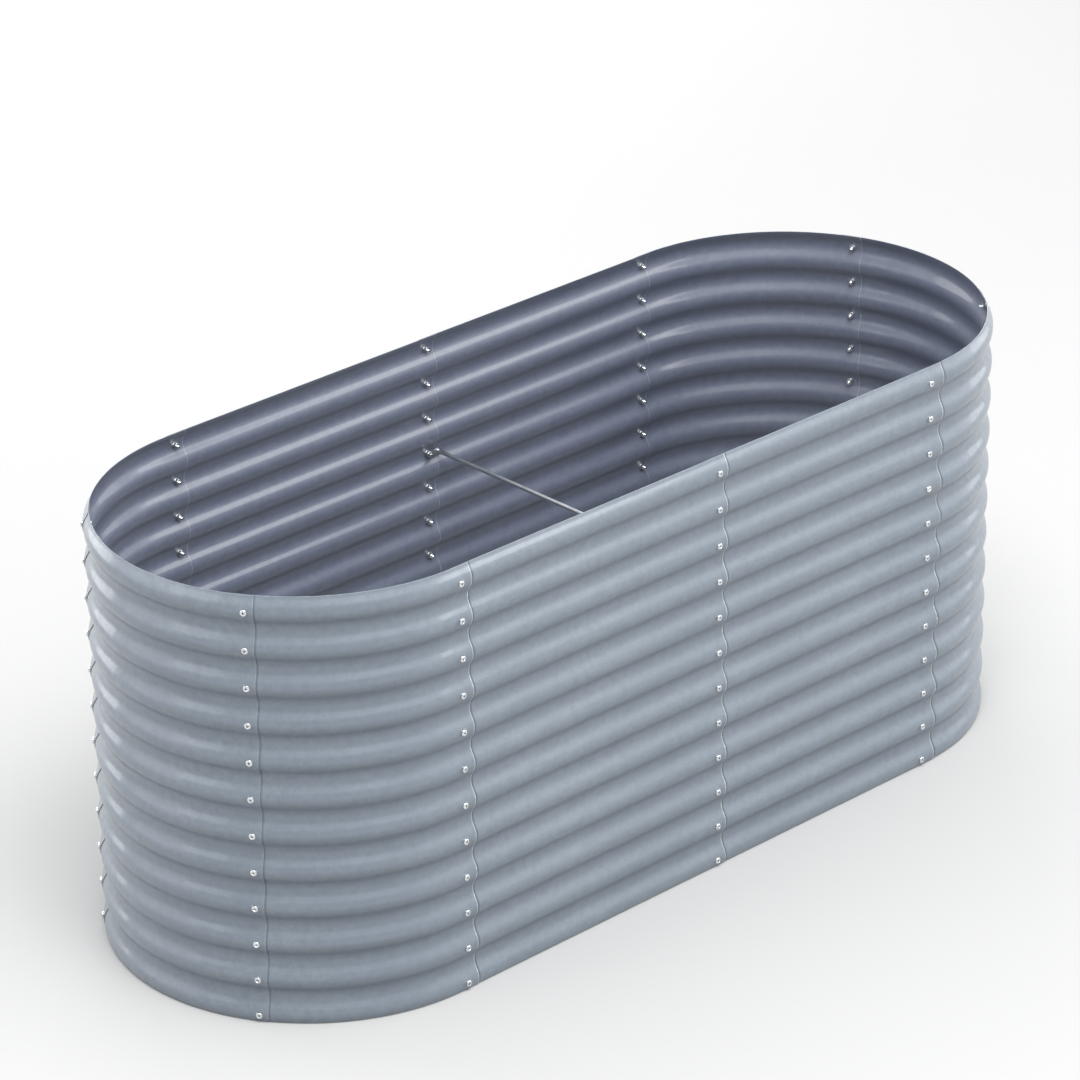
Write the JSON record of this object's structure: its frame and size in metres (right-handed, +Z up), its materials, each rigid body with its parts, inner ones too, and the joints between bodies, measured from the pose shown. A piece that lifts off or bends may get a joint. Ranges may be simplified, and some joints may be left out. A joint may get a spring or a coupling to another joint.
{
  "type": "raised garden bed",
  "caption": "Tall oval raised garden bed, open at the top and bottom, made of lapped corrugated steel panels bolted along vertical seams and tied by inner cross braces.",
  "frame": {"origin": "on the ground at the centre of the bed's plan", "axes": "+X along the bed's length, -Y towards the long side seen in the picture, +Z up"},
  "size_m": [1.9488, 0.7706, 0.812],
  "materials": {
    "panel_paint": "satin blue-grey coating",
    "bolt_zinc": "bright zinc plating",
    "washer_zinc": "zinc plating",
    "nut_zinc": "zinc plating",
    "brace_zinc": "zinc plating, satin"
  },
  "bodies": {
    "root": {"bolts_back_left": "bolt_zinc", "bolts_back_middle": "bolt_zinc", "bolts_back_right": "bolt_zinc", "bolts_end_left_back": "bolt_zinc", "bolts_end_left_front": "bolt_zinc", "bolts_end_right_back": "bolt_zinc", "bolts_end_right_front": "bolt_zinc", "bolts_front_left": "bolt_zinc", "bolts_front_middle": "bolt_zinc", "bolts_front_right": "bolt_zinc", "brace_lower": "brace_zinc", "brace_upper": "brace_zinc", "locknuts_brace_lower": "nut_zinc", "locknuts_brace_upper": "nut_zinc", "nuts_back_left": "nut_zinc", "nuts_back_middle": "nut_zinc", "nuts_back_right": "nut_zinc", "nuts_end_left_back": "nut_zinc", "nuts_end_left_front": "nut_zinc", "nuts_end_right_back": "nut_zinc", "nuts_end_right_front": "nut_zinc", "nuts_front_left": "nut_zinc", "nuts_front_middle": "nut_zinc", "nuts_front_right": "nut_zinc", "panel_back_left": "panel_paint", "panel_back_right": "panel_paint", "panel_front_left": "panel_paint", "panel_front_right": "panel_paint", "panel_left_back": "panel_paint", "panel_left_front": "panel_paint", "panel_left_middle": "panel_paint", "panel_right_back": "panel_paint", "panel_right_front": "panel_paint", "panel_right_middle": "panel_paint", "washers_back_left": "washer_zinc", "washers_back_middle": "washer_zinc", "washers_back_right": "washer_zinc", "washers_end_left_back": "washer_zinc", "washers_end_left_front": "washer_zinc", "washers_end_right_back": "washer_zinc", "washers_end_right_front": "washer_zinc", "washers_front_left": "washer_zinc", "washers_front_middle": "washer_zinc", "washers_front_right": "washer_zinc"}
  },
  "joints": []
}
